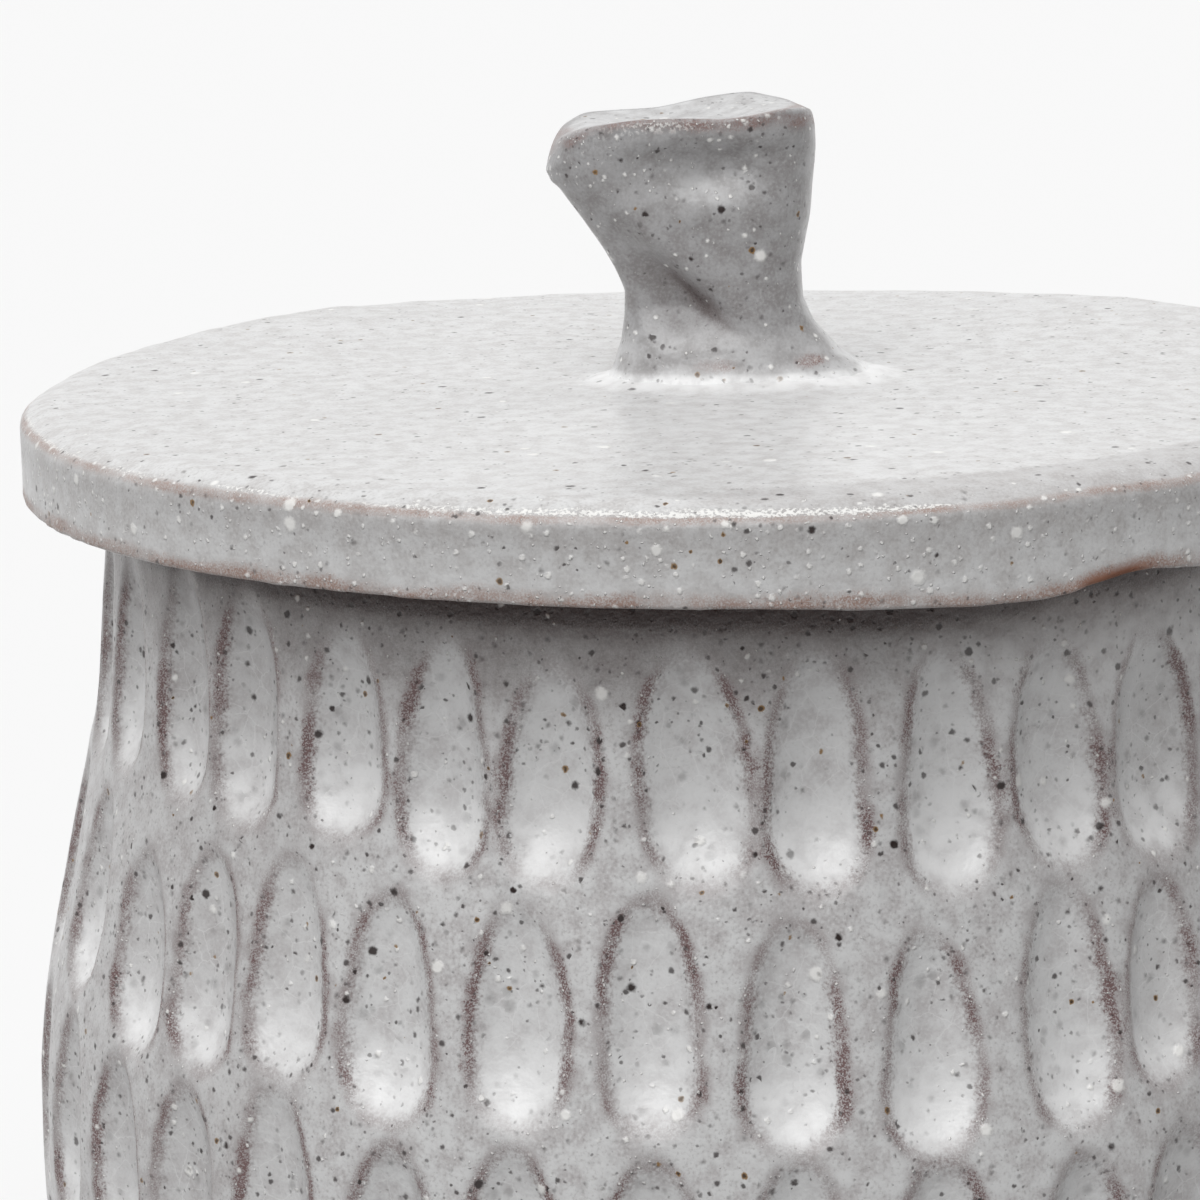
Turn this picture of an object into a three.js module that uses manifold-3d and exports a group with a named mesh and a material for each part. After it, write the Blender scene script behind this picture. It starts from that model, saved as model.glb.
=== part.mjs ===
// A lidded stoneware jar: a barrel-shaped wall covered in hand-cut gouges, a slab floor, and a slab lid
// with a locating flange and a pinched knob.
//
// Millimetres, +Z up. The origin is the centre of the flat underside that the jar stands on. The front
// faces -Y, and azimuths are measured from there towards +X.

import * as THREE from 'three';
import { mergeVertices, toCreasedNormals } from 'three/addons/utils/BufferGeometryUtils.js';
import Module from 'manifold-3d';

const manifold = await Module();
manifold.setup();

// Body: the outside is a curve from the foot through the belly to the mouth.
const BODY_HEIGHT = 136;
const MOUTH_RADIUS = 61;
const MOUTH_FLARE = 2.5; // how far the neck has widened where the curve leaves the mouth
const MOUTH_PULL = 26; // length of straight neck in that curve
const BELLY_RADIUS = 70;
const BELLY_HEIGHT = 68;
const BELLY_PULL = 27; // length of upright wall above and below the belly
const FOOT_RADIUS = 58;
const FOOT_FLARE = 7;
const FOOT_PULL = 16;
const WALL_THICKNESS = 7;
const RIM_ROUND = 1.8;
const FLOOR_THICKNESS = 8;
const FLOOR_BEVEL = 2.5; // trimmed edge round the underside
const CORNER_FILLET = 8; // clay smoothed into the corner between floor and wall

// Gouges: each is one downward stroke of a loop tool.
const GOUGE_LENGTH = 21.5;
const GOUGE_WIDTH = 9.4;
const GOUGE_DEPTH = 2;
const GOUGE_TAPER = 0.12; // share by which the lower end is wider, and the upper end narrower
const GOUGE_BLUNTNESS = 0.6; // 1 gives an ellipse, and less gives blunter ends
const GOUGE_DIG = 2.5; // degrees: the stroke runs deeper towards its lower end
const GOUGE_PITCH = 13; // round the belly
const ROW_PITCH = 22.8;
const FIRST_ROW_DROP = 16.4; // rim to the middle of the first row
const FOOT_BAND = 16; // uncut wall above the underside, at least
const ROW_TURNS = [-1.6, -5.2, -4.9, -2.2, -5.6]; // degrees: where each row has its first gouge
const ROW_TILT = 2.2; // rows run downhill towards +X, by this much at the belly

// The maker's hand: how much one gouge differs from the next.
const HAND_TURN = 0.8; // degrees
const HAND_DROP = 0.9;
const HAND_LENGTH = 1.1;
const HAND_WIDTH = 0.5;
const HAND_LEAN = 2; // degrees

// Lid
const LID_RADIUS = BELLY_RADIUS; // the lid's edge stands over the belly
const LID_THICKNESS = 9;
const LID_TOP_ROLL = 3; // width of the band at the edge of the top that rolls outwards
const LID_TOP_FALL = 1.1; // how far the top falls over that band
const LID_EDGE_ROUND = 1.2;
const LID_WAVE = 0.4; // how far the edge wanders in and out of a circle
const LID_SEAT_GAP = 0.3; // dry clay on dry clay, held apart by its roughness
const LID_LIFTED_EDGE = 1.5; // the lower edge steps up here, where the slab was cut unevenly
const LIFTED_EDGE_FROM = 27; // degrees
const LIFTED_EDGE_TO = 82;
const LIFTED_EDGE_RAMP = 9;
const FLANGE_CLEARANCE = 1.5; // between the flange and the inside of the mouth
const FLANGE_THICKNESS = 5;
const FLANGE_DEPTH = 8;
const FLANGE_ROUND = 1.5;

// Knob: the foot is spread where it is worked into the lid, and the brow is the edge of the top.
const KNOB_HEIGHT = 27.4;
const KNOB_NECK_HEIGHT = 8.5;
const KNOB_FOOT_WIDTH = 28;
const KNOB_NECK_WIDTH = 17.8;
const KNOB_BROW_WIDTH = 26.8;
const KNOB_FOOT_DEPTH = 16.6;
const KNOB_NECK_DEPTH = 12.6;
const KNOB_BROW_DEPTH = 18;
const KNOB_FOOT_SHIFT = 3.8; // towards +X from the middle of the lid
const KNOB_NECK_SHIFT = 1.2;
const KNOB_BROW_SHIFT = -1.9;
const KNOB_EDGE_ROUND = 0.9;
const FOOT_SWEEP = 2.2; // 1 spreads straight from the neck, and more curves in faster
const BROW_SWEEP = 1.4;
const KNOB_SQUARENESS = 2.5; // 2 is an ellipse, and more is squarer
const KNOB_BEAK_DROP = 5; // the -X end of the top is pinched down by this much
const KNOB_BEAK_REACH = 1.2; // the drop grows out to this many times the way to the tip
const KNOB_BACK_RISE = 1.6; // the top is this much higher at the back than at the front
const KNOB_DISH = 1; // depth of the thumb print in the top

// Facets
const CURVE_POINTS = 120;
const TOOL_FACETS = 6; // round a gouge tool
const TOOL_STEPS = 5; // along it
const DISC_FACETS = 68;
const FLANGE_FACETS = 48;
const KNOB_FACETS = 24;
const KNOB_STEPS = 11;
const ARC_STEPS = 3;
const CREASE = 35; // degrees: sharper edges than this are shaded as edges
const WELD = 1e-4; // corners nearer than this are one corner

const GLAZE = { color: 0xb9b7b5, roughness: 0.32, metalness: 0 };
const LID_GLAZE = { color: 0xc9c8c7, roughness: 0.25, metalness: 0 };
const BARE_CLAY = { color: 0x9b6f58, roughness: 0.85, metalness: 0 };

const GOUGES_PER_ROW = Math.round((2 * Math.PI * BELLY_RADIUS) / GOUGE_PITCH);
const ROWS = 1 + Math.floor((BODY_HEIGHT - FIRST_ROW_DROP - GOUGE_LENGTH / 2 - FOOT_BAND) / ROW_PITCH);

const GOUGE_TURN = 360 / GOUGES_PER_ROW;
const MIDDLE_TURN = (Math.min(...ROW_TURNS) + Math.max(...ROW_TURNS)) / 2;

const radians = THREE.MathUtils.degToRad;

// Points on the body's outer curve, as (radius, height), from the foot up to the mouth.
function outerCurve() {
  const belly = new THREE.Vector2(BELLY_RADIUS, BELLY_HEIGHT);
  const curve = new THREE.CurvePath();
  curve.add(new THREE.CubicBezierCurve(
    new THREE.Vector2(FOOT_RADIUS, 0),
    new THREE.Vector2(FOOT_RADIUS + FOOT_FLARE, FOOT_PULL),
    new THREE.Vector2(BELLY_RADIUS, BELLY_HEIGHT - BELLY_PULL),
    belly,
  ));
  curve.add(new THREE.CubicBezierCurve(
    belly,
    new THREE.Vector2(BELLY_RADIUS, BELLY_HEIGHT + BELLY_PULL),
    new THREE.Vector2(MOUTH_RADIUS + MOUTH_FLARE, BODY_HEIGHT - MOUTH_PULL),
    new THREE.Vector2(MOUTH_RADIUS, BODY_HEIGHT),
  ));
  return curve.getSpacedPoints(CURVE_POINTS);
}

const OUTER_CURVE = outerCurve();

// Outside radius of the body at a height.
function bodyRadius(height) {
  const above = OUTER_CURVE.findIndex((point) => point.y >= height);
  const index = THREE.MathUtils.clamp(above, 1, OUTER_CURVE.length - 1);
  const low = OUTER_CURVE[index - 1];
  const high = OUTER_CURVE[index];
  return THREE.MathUtils.mapLinear(height, low.y, high.y, low.x, high.x);
}

// A quarter or other part of a circle, as profile points. Angles are in degrees from the +radius axis.
function arc(radius, height, size, from, to) {
  const curve = new THREE.EllipseCurve(radius, height, size, size, radians(from), radians(to), to < from);
  return curve.getPoints(ARC_STEPS);
}

// A solid of revolution about Z from a closed profile, or one that starts and ends on the axis. The first
// edge between facets is at an azimuth in degrees.
function revolve(profile, facets, azimuth = 0) {
  return new THREE.LatheGeometry(profile, facets, radians(azimuth)).rotateX(Math.PI / 2);
}

// A closed skin over rings of points, listed from the bottom up and each anticlockwise from above.
function loft(rings, bottomCentre, topCentre) {
  const count = rings[0].length;
  const points = [...rings.flat(), bottomCentre, topCentre];
  const bottom = rings.length * count;
  const lastRing = bottom - count;
  const index = [];
  for (let i = 0; i < count; i += 1) {
    const next = (i + 1) % count;
    index.push(bottom, next, i);
    for (let ring = 0; ring < lastRing; ring += count) {
      index.push(ring + i, ring + next, ring + count + next);
      index.push(ring + i, ring + count + next, ring + count + i);
    }
    index.push(bottom + 1, lastRing + i, lastRing + next);
  }
  const geometry = new THREE.BufferGeometry().setFromPoints(points);
  geometry.setIndex(index);
  return geometry;
}

// The bare closed mesh of a geometry, for cutting.
function toSolid(geometry) {
  const bare = geometry.clone();
  bare.deleteAttribute('normal');
  bare.deleteAttribute('uv');
  const merged = mergeVertices(bare, WELD);
  return new manifold.Manifold(new manifold.Mesh({
    numProp: 3,
    vertProperties: new Float32Array(merged.attributes.position.array),
    triVerts: new Uint32Array(merged.index.array),
  }));
}

function toGeometry(solid) {
  const { vertProperties, triVerts } = solid.getMesh();
  const geometry = new THREE.BufferGeometry();
  geometry.setAttribute('position', new THREE.BufferAttribute(vertProperties, 3));
  geometry.setIndex(new THREE.BufferAttribute(triVerts, 1));
  return geometry;
}

// A number between -1 and 1 that wanders from one gouge to the next, the same each time.
function hand(step, trait) {
  return 0.6 * Math.sin(1.9 * step + 2.3 * trait) + 0.4 * Math.sin(5.3 * step + 7.1 * trait);
}

// Height of the middle of a row, or of the line between two rows for a half.
function rowHeight(row) {
  return BODY_HEIGHT - FIRST_ROW_DROP - row * ROW_PITCH;
}

// Heights of the edges between the wall's facets: its ends, and the lines between rows of gouges.
function facetHeights() {
  const between = Array.from({ length: ROWS + 1 }, (_, i) => rowHeight(ROWS - i - 0.5));
  return [FLOOR_THICKNESS, ...between, BODY_HEIGHT - RIM_ROUND];
}

// Where and how large each gouge is: azimuth and lean in degrees, height of its middle, length, width.
function gouges() {
  const list = [];
  for (let row = 0; row < ROWS; row += 1) {
    for (let column = 0; column < GOUGES_PER_ROW; column += 1) {
      const stroke = row * GOUGES_PER_ROW + column;
      const azimuth = column * GOUGE_TURN + ROW_TURNS[row % ROW_TURNS.length];
      const downhill = ROW_TILT * Math.sin(radians(azimuth));
      list.push({
        azimuth: azimuth + HAND_TURN * hand(stroke, 1),
        height: rowHeight(row) - downhill + HAND_DROP * hand(stroke, 2),
        length: GOUGE_LENGTH + HAND_LENGTH * hand(stroke, 3),
        width: GOUGE_WIDTH + HAND_WIDTH * hand(stroke, 4),
        lean: HAND_LEAN * hand(stroke, 5),
      });
    }
  }
  return list;
}

// The space that one stroke of the loop tool clears: an egg whose outer half stands off the wall.
function gougeTool({ azimuth, height, length, width, lean }) {
  const standOff = GOUGE_DEPTH; // as deep again outside the wall, so the cut is a shallow scoop
  const spread = Math.sqrt(1 - (standOff / (standOff + GOUGE_DEPTH)) ** 2);
  const reach = length / 2;
  const heights = facetHeights();
  const top = heights[heights.findIndex((edge) => edge > height)];
  const bottom = heights.findLast((edge) => edge <= height);
  const slope = Math.atan2(bodyRadius(top) - bodyRadius(bottom), top - bottom);
  const onEdge = THREE.MathUtils.mapLinear(height, bottom, top, bodyRadius(bottom), bodyRadius(top));
  const surface = onEdge * Math.cos(Math.PI / GOUGES_PER_ROW);
  const round = 1 / Math.cos(Math.PI / TOOL_FACETS); // the facets lie on the egg, and not its corners
  const egg = new THREE.SphereGeometry(round, TOOL_FACETS, TOOL_STEPS);
  egg.rotateX(Math.PI / 2);
  const position = egg.attributes.position;
  for (let i = 0; i < position.count; i += 1) {
    const along = position.getZ(i) / round;
    position.setX(i, position.getX(i) * (1 - GOUGE_TAPER * along));
    position.setZ(i, Math.sign(along) * Math.abs(along) ** GOUGE_BLUNTNESS);
  }
  egg.scale(width / 2 / spread, standOff + GOUGE_DEPTH, reach / spread ** GOUGE_BLUNTNESS);
  egg.rotateX(slope + radians(GOUGE_DIG));
  egg.rotateY(radians(lean));
  egg.translate(0, -surface - standOff, height);
  return egg.rotateZ(radians(azimuth));
}

// The wall stands on the floor slab and is open at the top. Its facets meet between the gouges.
function jarWall() {
  const top = BODY_HEIGHT - RIM_ROUND;
  const corner = FLOOR_THICKNESS + CORNER_FILLET;
  const heights = facetHeights();
  const outside = heights.map((height) => new THREE.Vector2(bodyRadius(height), height));
  const mouthInside = MOUTH_RADIUS - WALL_THICKNESS;
  const rim = [
    ...arc(bodyRadius(top) - RIM_ROUND, top, RIM_ROUND, 0, 90).slice(1),
    ...arc(mouthInside + RIM_ROUND, top, RIM_ROUND, 90, 180),
  ];
  const inside = heights.slice(2, -1).reverse().map((height) => (
    new THREE.Vector2(bodyRadius(height) - WALL_THICKNESS, height)
  ));
  const fillet = arc(bodyRadius(corner) - WALL_THICKNESS - CORNER_FILLET, corner, CORNER_FILLET, 0, -90);
  const profile = [...outside, ...rim, ...inside, ...fillet, outside[0]];
  const blank = toSolid(revolve(profile, GOUGES_PER_ROW, MIDDLE_TURN + GOUGE_TURN / 2));
  const carved = gouges().reduce((wall, gouge) => wall.subtract(toSolid(gougeTool(gouge))), blank);
  return toGeometry(carved);
}

function jarFloor() {
  const profile = [
    new THREE.Vector2(0, 0),
    new THREE.Vector2(FOOT_RADIUS - FLOOR_BEVEL, 0),
    new THREE.Vector2(bodyRadius(FLOOR_BEVEL), FLOOR_BEVEL),
    new THREE.Vector2(bodyRadius(FLOOR_THICKNESS), FLOOR_THICKNESS),
    new THREE.Vector2(0, FLOOR_THICKNESS),
  ];
  return revolve(profile, DISC_FACETS);
}

// How far the lid's lower edge is lifted at an azimuth in degrees.
function edgeLift(azimuth) {
  const start = THREE.MathUtils.smoothstep(azimuth, LIFTED_EDGE_FROM, LIFTED_EDGE_FROM + LIFTED_EDGE_RAMP);
  const end = THREE.MathUtils.smoothstep(azimuth, LIFTED_EDGE_TO - LIFTED_EDGE_RAMP, LIFTED_EDGE_TO);
  return LID_LIFTED_EDGE * (start - end);
}

// The lid's disc, from the underside outwards and up to the top. Only the edge is uneven: the underside
// inside it and the top are flat.
function lidSlab() {
  const ring = (inset, height, lifted) => Array.from({ length: DISC_FACETS }, (_, i) => {
    const angle = (i / DISC_FACETS) * 2 * Math.PI;
    const wave = LID_WAVE * (0.6 * Math.sin(2 * angle + 1) + 0.4 * Math.sin(3 * angle + 4));
    const radius = LID_RADIUS + wave - inset;
    const lift = lifted * edgeLift((i / DISC_FACETS) * 360);
    return new THREE.Vector3(radius * Math.sin(angle), -radius * Math.cos(angle), height + lift);
  });
  const shoulder = LID_THICKNESS - LID_TOP_FALL;
  const rings = [
    ring((LID_RADIUS - MOUTH_RADIUS) / 2, 0, 0),
    ring(LID_EDGE_ROUND, 0, 1),
    ring(0, LID_EDGE_ROUND, 1),
    ring(0, shoulder - LID_EDGE_ROUND, 0),
    ring(LID_EDGE_ROUND / 2, shoulder, 0),
    ring(LID_TOP_ROLL, LID_THICKNESS, 0),
  ];
  return loft(rings, new THREE.Vector3(0, 0, 0), new THREE.Vector3(0, 0, LID_THICKNESS));
}

// The ring under the lid that drops into the mouth.
function lidFlange() {
  const outer = MOUTH_RADIUS - WALL_THICKNESS - FLANGE_CLEARANCE;
  const inner = outer - FLANGE_THICKNESS;
  const low = FLANGE_ROUND - FLANGE_DEPTH;
  const profile = [
    ...arc(inner + FLANGE_ROUND, low, FLANGE_ROUND, 180, 270),
    ...arc(outer - FLANGE_ROUND, low, FLANGE_ROUND, 270, 360),
    new THREE.Vector2(outer, 0),
    new THREE.Vector2(inner, 0),
    new THREE.Vector2(inner, low),
  ];
  return revolve(profile, FLANGE_FACETS);
}

// A size of the knob at a height, from its values at the foot, neck and brow.
function knobSize(height, foot, neck, brow) {
  if (height < KNOB_NECK_HEIGHT) {
    return neck + (foot - neck) * (1 - height / KNOB_NECK_HEIGHT) ** FOOT_SWEEP;
  }
  const share = (height - KNOB_NECK_HEIGHT) / (KNOB_HEIGHT - KNOB_NECK_HEIGHT);
  return neck + (brow - neck) * share ** BROW_SWEEP;
}

// A point of the knob, once the top has been pinched down at the beak and raised at the back.
function pinched(x, y, height) {
  const share = (height / KNOB_HEIGHT) ** 2;
  const tip = KNOB_BROW_SHIFT - KNOB_BROW_WIDTH / 2;
  const beak = KNOB_BEAK_DROP * THREE.MathUtils.smootherstep(x / tip, 0, KNOB_BEAK_REACH);
  const back = (KNOB_BACK_RISE * y) / KNOB_BROW_DEPTH;
  return new THREE.Vector3(x, y, height + share * (back - beak));
}

// A level slice of the knob, drawn in by an inset and sunk by a depth.
function knobRing(height, inset, sink) {
  const width = knobSize(height, KNOB_FOOT_WIDTH, KNOB_NECK_WIDTH, KNOB_BROW_WIDTH);
  const depth = knobSize(height, KNOB_FOOT_DEPTH, KNOB_NECK_DEPTH, KNOB_BROW_DEPTH);
  const shift = knobSize(height, KNOB_FOOT_SHIFT, KNOB_NECK_SHIFT, KNOB_BROW_SHIFT);
  const power = 2 / KNOB_SQUARENESS;
  return Array.from({ length: KNOB_FACETS }, (_, i) => {
    const angle = (i / KNOB_FACETS) * 2 * Math.PI;
    const x = Math.sign(Math.cos(angle)) * Math.abs(Math.cos(angle)) ** power;
    const y = Math.sign(Math.sin(angle)) * Math.abs(Math.sin(angle)) ** power;
    return pinched(shift + (width / 2 - inset) * x, (depth / 2 - inset) * y, height - sink);
  });
}

// The knob is one lump of clay, pinched flat front to back and drawn out to a beak at -X.
function knobShape() {
  const brow = KNOB_HEIGHT - KNOB_EDGE_ROUND;
  const rings = [];
  for (let i = 0; i <= KNOB_STEPS; i += 1) {
    rings.push(knobRing((brow * i) / KNOB_STEPS, 0, 0));
  }
  rings.push(knobRing(KNOB_HEIGHT, KNOB_EDGE_ROUND, 0));
  rings.push(knobRing(KNOB_HEIGHT, KNOB_BROW_DEPTH / 4, KNOB_DISH / 2));
  const middle = pinched(KNOB_BROW_SHIFT, 0, KNOB_HEIGHT - KNOB_DISH);
  return loft(rings, new THREE.Vector3(KNOB_FOOT_SHIFT, 0, 0), middle);
}

function mesh(name, geometry, finish) {
  const shaded = toCreasedNormals(geometry, radians(CREASE));
  const part = new THREE.Mesh(shaded, new THREE.MeshStandardMaterial(finish));
  part.name = name;
  return part;
}

const body = new THREE.Group();
body.add(mesh('jar_wall', jarWall(), GLAZE));
body.add(mesh('jar_floor', jarFloor(), BARE_CLAY));

const lid = new THREE.Group();
const knob = mesh('knob', knobShape(), GLAZE);
knob.position.z = LID_THICKNESS;
lid.add(mesh('lid_slab', lidSlab(), LID_GLAZE));
lid.add(mesh('lid_flange', lidFlange(), BARE_CLAY));
lid.add(knob);
lid.position.z = BODY_HEIGHT + LID_SEAT_GAP;

const jar = new THREE.Group();
jar.add(body, lid);

export default jar;
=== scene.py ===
"""Looks of a lidded stoneware jar: a wall of hand-cut gouges, a slab lid and a pinched knob, all glazed.

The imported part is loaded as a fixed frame, and every piece here takes the place of one of its nodes. Sizes in
the classes are millimetres and meshes are metres, +Z up. The front faces -Y, and azimuths are measured from
there towards +X. A table is pairs of a place and the value there.
"""

import logging
import math
from dataclasses import dataclass
from enum import Enum
from functools import cached_property, reduce
from typing import Callable, ClassVar, Mapping, Optional, Sequence, Union

import bpy
import numpy as np
from mathutils import Matrix, Vector


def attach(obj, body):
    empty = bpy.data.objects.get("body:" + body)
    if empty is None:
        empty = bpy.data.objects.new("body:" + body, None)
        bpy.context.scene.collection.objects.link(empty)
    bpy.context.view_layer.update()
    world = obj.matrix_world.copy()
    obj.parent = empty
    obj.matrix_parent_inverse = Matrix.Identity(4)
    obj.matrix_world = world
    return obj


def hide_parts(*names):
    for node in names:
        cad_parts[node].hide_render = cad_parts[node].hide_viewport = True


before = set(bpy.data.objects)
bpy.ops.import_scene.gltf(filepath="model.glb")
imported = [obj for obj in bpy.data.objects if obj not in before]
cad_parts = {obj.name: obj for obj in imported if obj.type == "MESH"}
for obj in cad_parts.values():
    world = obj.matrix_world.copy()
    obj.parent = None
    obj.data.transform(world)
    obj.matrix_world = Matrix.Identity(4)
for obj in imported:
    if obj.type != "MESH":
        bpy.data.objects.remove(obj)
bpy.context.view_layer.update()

MM = 0.001
SECTORS = 8  # a turn is thrown in this many equal parts, which is faster than at once
FAR = 9.0  # mm, farther than any mark reaches from its edge
UNCUT = -6.0  # mm, the EDGE mark where no gouge is near
TINY = 1e-6  # keeps divisions away from zero
CAP = 0.999  # height share from which the knob's blank is its top
log = logging.getLogger("jar")

Array = np.ndarray
Material = bpy.types.Material
Object = bpy.types.Object
Number = Union[float, Array]
Colour = tuple[float, float, float, float]
Point = tuple[float, float]
Table = tuple[Point, ...]
Stroke = tuple[float, float, float, float, float]


class Body(Enum):
    """The bodies that move apart when the lid is lifted."""

    JAR = "jar"
    LID = "lid"


class Slot(Enum):
    """Material slots of the record."""

    WALL = "wall_glaze"
    LID = "lid_glaze"
    CLAY = "bare_clay"


class Mark(Enum):
    """What is painted on a mesh, vertex by vertex, for the finishes to read."""

    EDGE = "edge"  # mm inside the line that the glaze breaks along
    BREAK = "break"  # how much it breaks there
    POOL_AND_LIGHT = "pool_and_light"  # how much glaze pools, together with painted light and highlights
    BARE = "bare"  # how much clay shows
    DOTS = "spots_and_glints"  # how many white spots there are, and above 1.1 a line of painted glints
    SHADE = "shade"  # painted shade in crevices, on the wall under the lid and on faces turned from the light


def srgb(*levels: int) -> Colour:
    """Turns a screen colour into the linear one that shaders use.

    Args:
        levels: Red, green and blue, 0 to 255.

    Returns:
        The linear colour, opaque.
    """
    shares = [level / 255 for level in levels]
    red, green, blue = (s / 12.92 if s < 0.04045 else ((s + 0.055) / 1.055) ** 2.4 for s in shares)
    return (red, green, blue, 1.0)


def grey(level: float) -> Colour:
    """A linear grey, opaque."""
    return (level, level, level, 1.0)


def ease(value: Array, low: float, high: float) -> Array:
    """Eases from 0 at low to 1 at high, which may be below low."""
    share = np.clip((value - low) / (high - low), 0, 1)
    return share * share * (3 - 2 * share)


def bump(value: Array, centre: float, width: float) -> Array:
    """A bell-shaped rise of height 1 about a centre."""
    return np.exp(-(((value - centre) / width) ** 2))


def read(table: Table, at: Array) -> Array:
    """The values of a table at some places, straight between its rows."""
    return np.interp(at, *zip(*table))


def soft_min(first: Array, second: Array, blend: float) -> Array:
    """The smaller of two heights, rounded where they are less than blend apart."""
    near = np.clip(1 - np.abs(first - second) / blend, 0, 1)
    return np.minimum(first, second) - blend / 4 * near * near


def waves(points: Array, size: float, seed: int) -> Array:
    """A smooth wandering number from -1 to 1 over space, from a few crossed waves.

    Args:
        points: Places, one per row, in mm.
        size: Rough length of a swell, in mm.
        seed: Picks the waves.

    Returns:
        One number per point.
    """
    rng = np.random.default_rng(seed)
    total = np.zeros(len(points))
    count = 7
    for _ in range(count):
        direction = rng.normal(size=3)
        direction *= rng.uniform(0.7, 1.4) / np.linalg.norm(direction)
        total += np.sin(points @ direction * (2 * np.pi / size) + rng.uniform(0, 2 * np.pi))
    return total / (count * 0.6)


def hand(step: int, trait: int) -> float:
    """A number between -1 and 1 that wanders from one gouge to the next, as in the part's source."""
    return 0.6 * np.sin(1.9 * step + 2.3 * trait) + 0.4 * np.sin(5.3 * step + 7.1 * trait)


def polar(points: Array) -> tuple[Array, Array, Array]:
    """Radius, azimuth in radians from the front towards +X, and height of each point."""
    return np.hypot(points[:, 0], points[:, 1]), np.arctan2(points[:, 0], -points[:, 1]), points[:, 2]


def turn_from(azimuth: Array, middle: float) -> Array:
    """Angle from one azimuth to others, the short way round, in radians."""
    return (azimuth - middle + np.pi) % (2 * np.pi) - np.pi


def deselect() -> None:
    """Leaves nothing selected."""
    bpy.ops.object.select_all(action="DESELECT")


def thrown(name: str, profile: Sequence[Point], steps: int) -> Object:
    """Turns a profile round the jar's axis, as clay on a wheel.

    Args:
        name: Name of the piece.
        profile: Points as (radius, height) in mm. It ends where it starts, or has both ends on the axis.
        steps: Segments in a full turn, a multiple of SECTORS.

    Returns:
        The piece, closed and with its faces outwards.
    """
    deselect()
    bpy.ops.mesh.primitive_plane_add(size=MM, location=(0, 0, 0))
    piece = bpy.context.object
    piece.name = piece.data.name = name
    bpy.ops.object.mode_set(mode="EDIT")
    bpy.ops.mesh.select_all(action="SELECT")
    bpy.ops.mesh.merge(type="CENTER")
    bpy.ops.transform.translate(value=(profile[0][0] * MM, 0, profile[0][1] * MM))
    for (radius, height), (last_radius, last_height) in zip(profile[1:], profile):
        step = ((radius - last_radius) * MM, 0, (height - last_height) * MM)
        bpy.ops.mesh.extrude_vertices_move(TRANSFORM_OT_translate={"value": step})
    turn = 2 * math.pi / SECTORS
    wheel = {"center": (0, 0, 0), "axis": (0, 0, 1)}
    bpy.ops.mesh.select_all(action="SELECT")
    bpy.ops.mesh.spin(steps=steps // SECTORS, angle=turn, **wheel)
    bpy.ops.mesh.select_all(action="SELECT")
    bpy.ops.mesh.spin(steps=SECTORS - 1, angle=2 * math.pi - turn, dupli=True, **wheel)
    bpy.ops.mesh.select_all(action="SELECT")
    bpy.ops.mesh.remove_doubles(threshold=0.002 * MM)
    bpy.ops.mesh.normals_make_consistent(inside=False)
    bpy.ops.object.mode_set(mode="OBJECT")
    return piece


def corner(centre: Point, size: float, start: float, end: float, steps: int) -> list[Point]:
    """Part of a circle as profile points, its angles in degrees from the +radius axis."""
    angles = np.radians(np.linspace(start, end, steps + 1))
    return [(centre[0] + size * math.cos(a), centre[1] + size * math.sin(a)) for a in angles]


def line(start: Point, end: Point, steps: int) -> list[Point]:
    """Evenly spaced profile points from one point to another, the first left out."""
    shares = np.linspace(0, 1, steps + 1)[1:]
    return [(start[0] + (end[0] - start[0]) * s, start[1] + (end[1] - start[1]) * s) for s in shares]


def operator(operation: str, swapped: bool = False) -> Callable[..., "Field"]:
    """Makes a method of Field that is one Math node.

    Args:
        operation: What the node does.
        swapped: Whether the field comes last.

    Returns:
        The method.
    """

    def method(self: "Field", *others: "Value") -> "Field":
        """The Math node's result."""
        return self.graph.maths(operation, *((*others, self) if swapped else (self, *others)))

    return method


class Field:
    """A number or colour that varies over a surface, for sums with other fields and plain numbers."""

    def __init__(self, graph: "Graph", socket: bpy.types.NodeSocket) -> None:
        """Wraps an output socket of a graph."""
        self.graph, self.socket = graph, socket

    __add__ = operator("ADD")
    __sub__ = operator("SUBTRACT")
    __rsub__ = operator("SUBTRACT", swapped=True)
    __mul__ = operator("MULTIPLY")
    __abs__ = operator("ABSOLUTE")
    __lt__ = operator("LESS_THAN")


Marks = Mapping[Mark, Number]
Worked = tuple[Array, Marks]
Value = Union[Field, float, Sequence[float]]
Sockets = Mapping[Union[str, int], Value]


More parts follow.
